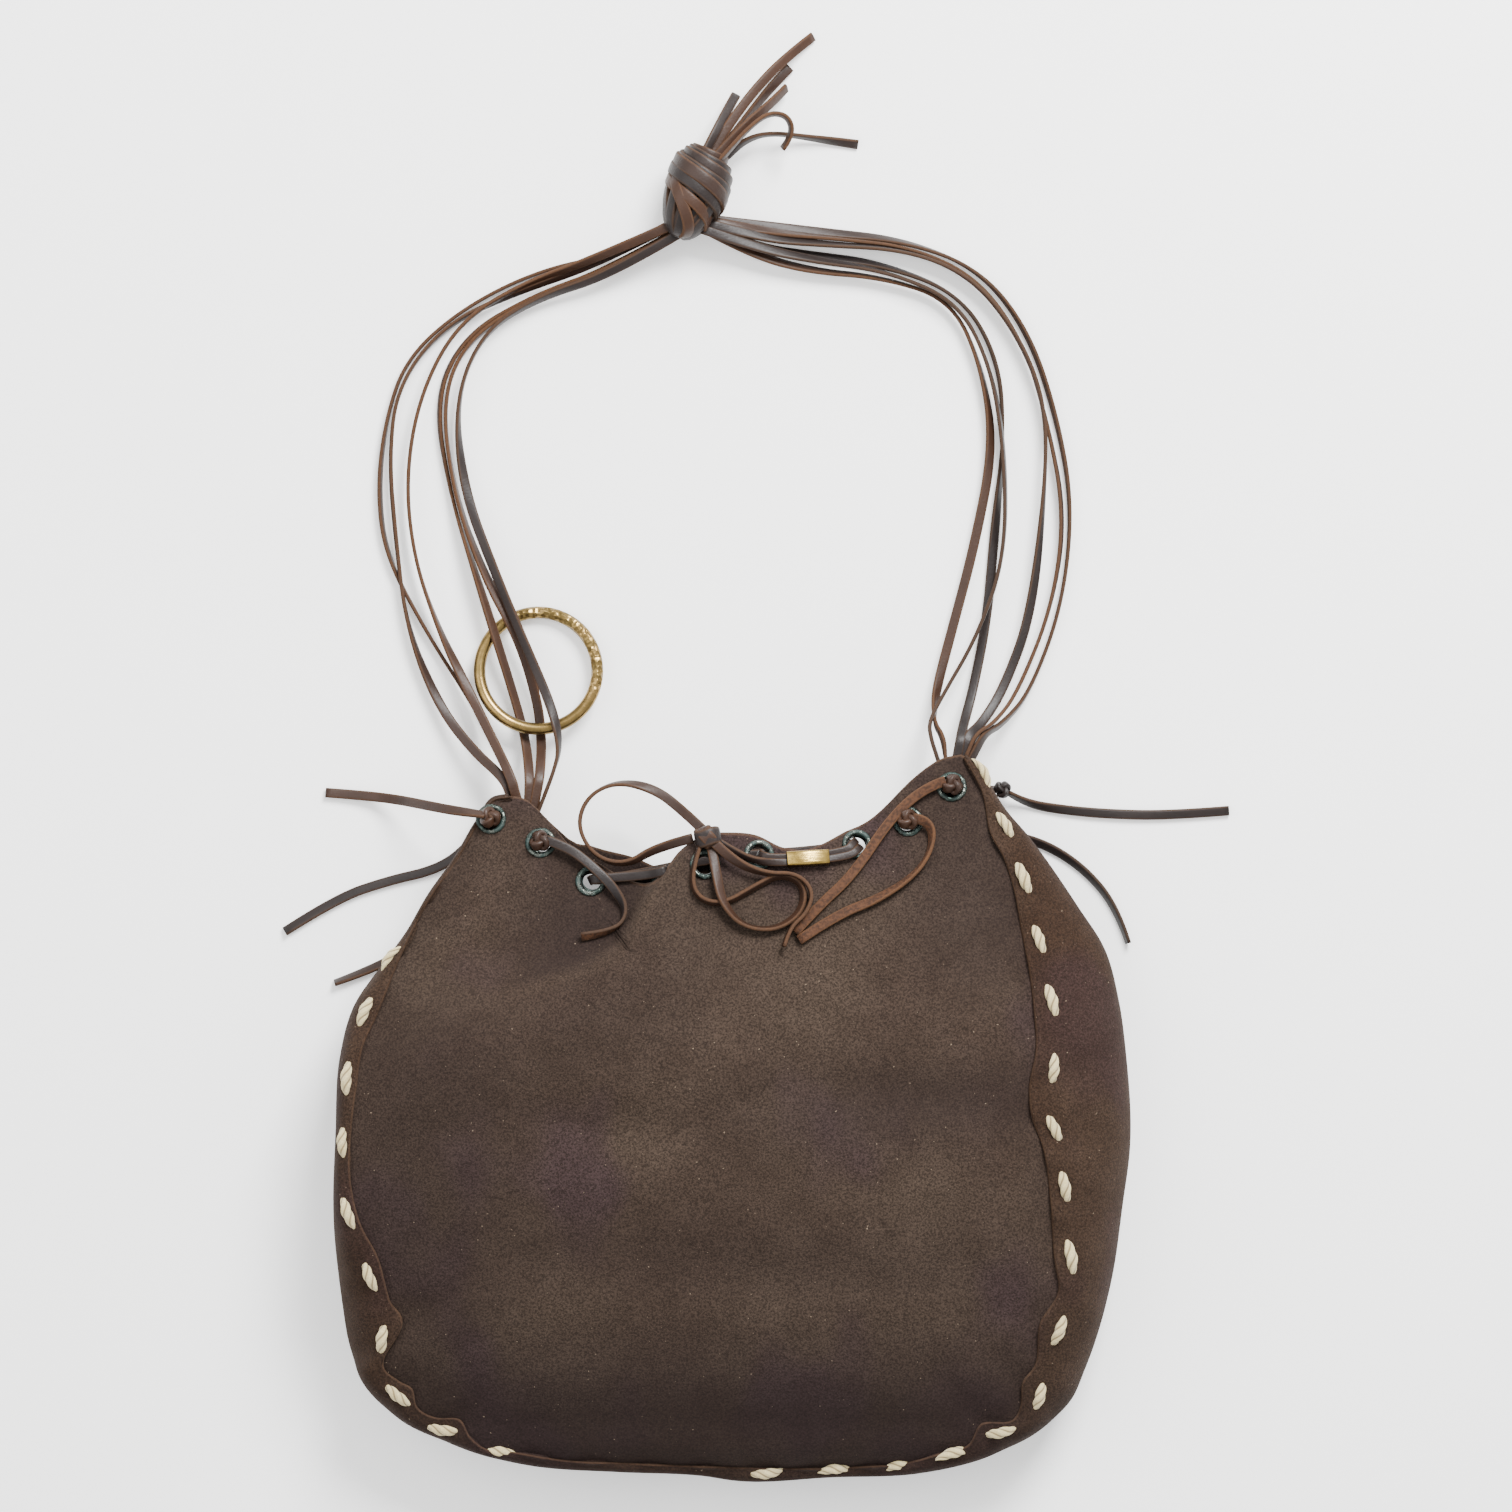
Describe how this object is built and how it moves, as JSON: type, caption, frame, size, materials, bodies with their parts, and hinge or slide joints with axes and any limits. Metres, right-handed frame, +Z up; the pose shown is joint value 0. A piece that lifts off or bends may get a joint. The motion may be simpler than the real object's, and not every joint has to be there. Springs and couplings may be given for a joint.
{
  "type": "drawstring shoulder bag",
  "caption": "Soft suede pouch bag with a drawn mouth, rope-stitched side gusset, lace drawstring with a slider, and a knotted lace strap carrying a metal ring.",
  "frame": {"origin": "middle of the bag's base box, on the surface that its back lies on", "axes": "+Z up out of the bag's front, +Y from the bag's foot to its mouth and strap, +X across to the right"},
  "size_m": [0.3151, 0.4804, 0.05],
  "materials": {
    "suede": "napped suede",
    "lace_leather": "waxed lace, raw edges",
    "rope": "twisted cotton cord",
    "eyelet_brass": "verdigris patina",
    "ring_brass": "antique, hammered",
    "slider_brass": "worn satin"
  },
  "bodies": {
    "bag": {"back_eyelet_washers": "eyelet_brass", "back_eyelets": "eyelet_brass", "back_panel": "suede", "back_seam_stitches": "rope", "bow_end": "lace_leather", "bow_knot": "lace_leather", "bow_loop_lower": "lace_leather", "bow_loop_upper": "lace_leather", "drawstring_back": "lace_leather", "drawstring_knot_side": "lace_leather", "drawstring_left": "lace_leather", "drawstring_mouth_side": "lace_leather", "front_eyelet_washers": "eyelet_brass", "front_eyelets": "eyelet_brass", "front_panel": "suede", "front_seam_stitches": "rope", "lace_roots_left": "lace_leather", "lace_roots_right": "lace_leather", "side_gusset": "suede", "stopper_knots_back_left": "lace_leather", "stopper_knots_back_right": "lace_leather", "stopper_knots_front_left": "lace_leather", "stopper_knots_front_right": "lace_leather", "tail_left_back_lower": "lace_leather", "tail_left_back_upper": "lace_leather", "tail_left_front": "lace_leather", "tail_left_top": "lace_leather", "tail_right_back_lower": "lace_leather", "tail_right_back_upper": "lace_leather", "tail_right_inner": "lace_leather", "tail_right_outer": "lace_leather"},
    "strap": {"strap_knot": "lace_leather", "strap_knot_end_1": "lace_leather", "strap_knot_end_2": "lace_leather", "strap_knot_end_3": "lace_leather", "strap_knot_end_4": "lace_leather", "strap_knot_end_5": "lace_leather", "strap_knot_end_6": "lace_leather", "strap_lace_left_1": "lace_leather", "strap_lace_left_2": "lace_leather", "strap_lace_left_3": "lace_leather", "strap_lace_left_4": "lace_leather", "strap_lace_left_5": "lace_leather", "strap_lace_left_6": "lace_leather", "strap_lace_right_1": "lace_leather", "strap_lace_right_2": "lace_leather", "strap_lace_right_3": "lace_leather", "strap_lace_right_4": "lace_leather", "strap_lace_right_5": "lace_leather", "strap_lace_right_6": "lace_leather"},
    "ring": {"carry_ring": "ring_brass"},
    "slider": {"drawstring_slider": "slider_brass"}
  },
  "joints": [
    {"name": "strap_swing", "type": "hinge", "parent": "bag", "child": "strap", "pos_m": [0, 0.11854, 0.0165], "axis": [0.9958, 0.0915, 0], "range_deg": [0, 100]},
    {"name": "ring_slide", "type": "slide", "parent": "strap", "child": "ring", "axis": [-0.42, 0.9075, 0], "range_m": [-0.002, 0.01]},
    {"name": "slider_slide", "type": "slide", "parent": "bag", "child": "slider", "axis": [0.996, 0.0871, -0.0218], "range_m": [-0.002, 0.002]}
  ]
}
